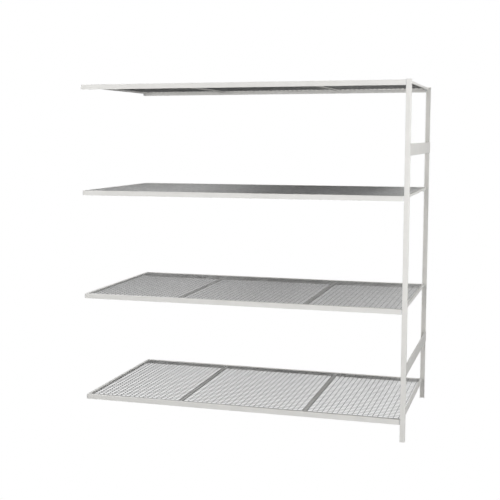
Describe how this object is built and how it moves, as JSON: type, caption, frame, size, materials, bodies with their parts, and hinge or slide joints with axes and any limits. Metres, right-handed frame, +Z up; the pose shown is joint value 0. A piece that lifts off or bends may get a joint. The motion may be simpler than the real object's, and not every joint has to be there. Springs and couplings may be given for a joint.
{
  "type": "boltless steel shelving",
  "caption": "Add-on bay of boltless steel shelving: two slotted channel posts at one end, low-profile beams on shouldered studs, and wire decks.",
  "frame": {"origin": "on the floor, under the middle of the bay's outer size", "axes": "+X along the shelves from the hooked left end to the posts, +Y from front to rear, +Z up"},
  "size_m": [2.4466, 1.2192, 2.5146],
  "materials": {
    "powder_coat": "off-white powder coat, semi-gloss with fine orange peel",
    "zinc": "bright zinc plate",
    "wire": "galvanised wire, dull grey"
  },
  "bodies": {
    "posts": {"front_post": "powder_coat", "rear_post": "powder_coat", "upper_tie_plate": "powder_coat", "lower_tie_plate": "powder_coat"},
    "shelf_1_frame": {"shelf_1_front_beam": "powder_coat", "shelf_1_rear_beam": "powder_coat", "shelf_1_left_rail": "powder_coat", "shelf_1_right_rail": "powder_coat", "shelf_1_left_support": "powder_coat", "shelf_1_right_support": "powder_coat", "shelf_1_front_left_connector": "zinc", "shelf_1_front_right_connector": "zinc", "shelf_1_rear_left_connector": "zinc", "shelf_1_rear_right_connector": "zinc"},
    "shelf_1_deck": {"shelf_1_wire_deck": "wire"},
    "shelf_2_frame": {"shelf_2_front_beam": "powder_coat", "shelf_2_rear_beam": "powder_coat", "shelf_2_left_rail": "powder_coat", "shelf_2_right_rail": "powder_coat", "shelf_2_left_support": "powder_coat", "shelf_2_right_support": "powder_coat", "shelf_2_front_left_connector": "zinc", "shelf_2_front_right_connector": "zinc", "shelf_2_rear_left_connector": "zinc", "shelf_2_rear_right_connector": "zinc"},
    "shelf_2_deck": {"shelf_2_wire_deck": "wire"},
    "shelf_3_frame": {"shelf_3_front_beam": "powder_coat", "shelf_3_rear_beam": "powder_coat", "shelf_3_left_rail": "powder_coat", "shelf_3_right_rail": "powder_coat", "shelf_3_left_support": "powder_coat", "shelf_3_right_support": "powder_coat", "shelf_3_front_left_connector": "zinc", "shelf_3_front_right_connector": "zinc", "shelf_3_rear_left_connector": "zinc", "shelf_3_rear_right_connector": "zinc"},
    "shelf_3_deck": {"shelf_3_wire_deck": "wire"},
    "shelf_4_frame": {"shelf_4_front_beam": "powder_coat", "shelf_4_rear_beam": "powder_coat", "shelf_4_left_rail": "powder_coat", "shelf_4_right_rail": "powder_coat", "shelf_4_left_support": "powder_coat", "shelf_4_right_support": "powder_coat", "shelf_4_front_left_connector": "zinc", "shelf_4_front_right_connector": "zinc", "shelf_4_rear_left_connector": "zinc", "shelf_4_rear_right_connector": "zinc"},
    "shelf_4_deck": {"shelf_4_wire_deck": "wire"}
  },
  "joints": [
    {"name": "shelf_1_lift", "type": "slide", "parent": "posts", "child": "shelf_1_frame", "axis": [0, 0, 1], "range_m": [0, 0.011]},
    {"name": "shelf_1_deck_lift", "type": "slide", "parent": "shelf_1_frame", "child": "shelf_1_deck", "axis": [0, 0, 1], "range_m": [0, 0.1]},
    {"name": "shelf_2_lift", "type": "slide", "parent": "posts", "child": "shelf_2_frame", "axis": [0, 0, 1], "range_m": [0, 0.011]},
    {"name": "shelf_2_deck_lift", "type": "slide", "parent": "shelf_2_frame", "child": "shelf_2_deck", "axis": [0, 0, 1], "range_m": [0, 0.1]},
    {"name": "shelf_3_lift", "type": "slide", "parent": "posts", "child": "shelf_3_frame", "axis": [0, 0, 1], "range_m": [0, 0.011]},
    {"name": "shelf_3_deck_lift", "type": "slide", "parent": "shelf_3_frame", "child": "shelf_3_deck", "axis": [0, 0, 1], "range_m": [0, 0.1]},
    {"name": "shelf_4_lift", "type": "slide", "parent": "posts", "child": "shelf_4_frame", "axis": [0, 0, 1], "range_m": [0, 0.011]},
    {"name": "shelf_4_deck_lift", "type": "slide", "parent": "shelf_4_frame", "child": "shelf_4_deck", "axis": [0, 0, 1], "range_m": [0, 0.1]}
  ]
}
